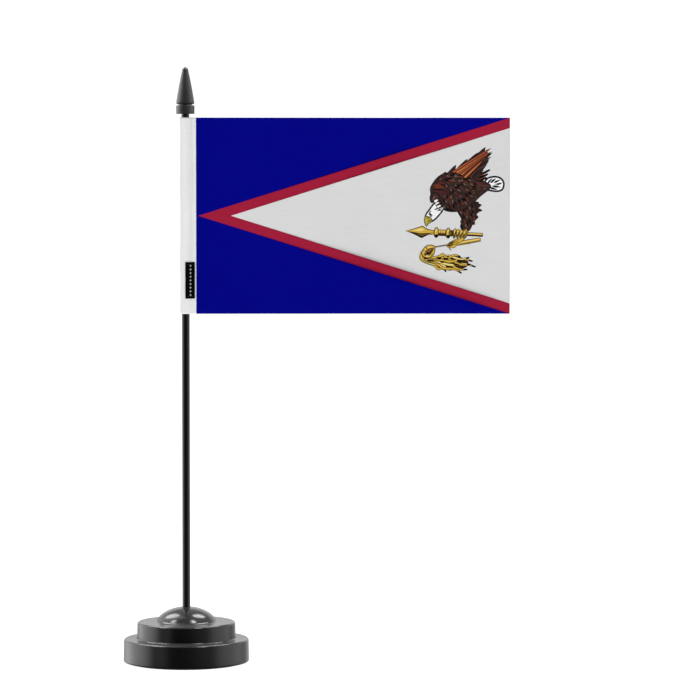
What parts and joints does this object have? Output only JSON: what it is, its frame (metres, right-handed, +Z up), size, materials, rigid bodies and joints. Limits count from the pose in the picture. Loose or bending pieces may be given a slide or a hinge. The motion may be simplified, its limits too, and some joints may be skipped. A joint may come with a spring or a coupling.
{
  "type": "desk flag stand",
  "caption": "Desk flag stand: a weighted, stepped round base with a dome, a slim pole with a spear finial, and a small sewn flag whose sleeve turns round the pole.",
  "frame": {"origin": "on the pole's axis, on the surface that the anti-slip pad rests on", "axes": "+Z up along the pole, +X out along the flag from the pole, and the flag's front faces -Y"},
  "size_m": [0.1977, 0.0644, 0.3044],
  "materials": {
    "base_plastic": "gloss",
    "ballast_steel": "plated, satin",
    "cover_plastic": "matte",
    "screw_steel": "zinc plated",
    "pad_foam": "matte foam",
    "pole_plastic": "gloss",
    "finial_plastic": "semi-gloss",
    "sleeve_fabric": "woven polyester, unprinted",
    "flag_fabric": "woven polyester, printed blue, red and white",
    "thread": "spun thread",
    "label_thread": "spun thread, black",
    "label_fabric": "woven satin ribbon, plain"
  },
  "bodies": {
    "base": {"base_shell": "base_plastic", "ballast_ring": "ballast_steel", "bottom_cover": "cover_plastic", "cover_screw_1": "screw_steel", "cover_screw_2": "screw_steel", "cover_screw_3": "screw_steel", "anti_slip_pad": "pad_foam"},
    "pole": {"pole": "pole_plastic"},
    "finial": {"finial": "finial_plastic"},
    "flag": {"hoist_sleeve": "sleeve_fabric", "flag_panel": "flag_fabric", "seam_thread_front": "thread", "seam_thread_back": "thread", "sleeve_label": "label_fabric", "label_stitch_top": "label_thread", "label_stitch_bottom": "label_thread"}
  },
  "joints": [
    {"name": "pole_lift", "type": "slide", "parent": "base", "child": "pole", "axis": [0, 0, 1], "range_m": [0, 0.03]},
    {"name": "finial_pull", "type": "slide", "parent": "pole", "child": "finial", "axis": [0, 0, 1], "range_m": [0, 0.012]},
    {"name": "flag_swivel", "type": "hinge", "parent": "pole", "child": "flag", "pos_m": [0, 0, 0.2287], "axis": [0, 0, 1], "continuous": true}
  ]
}
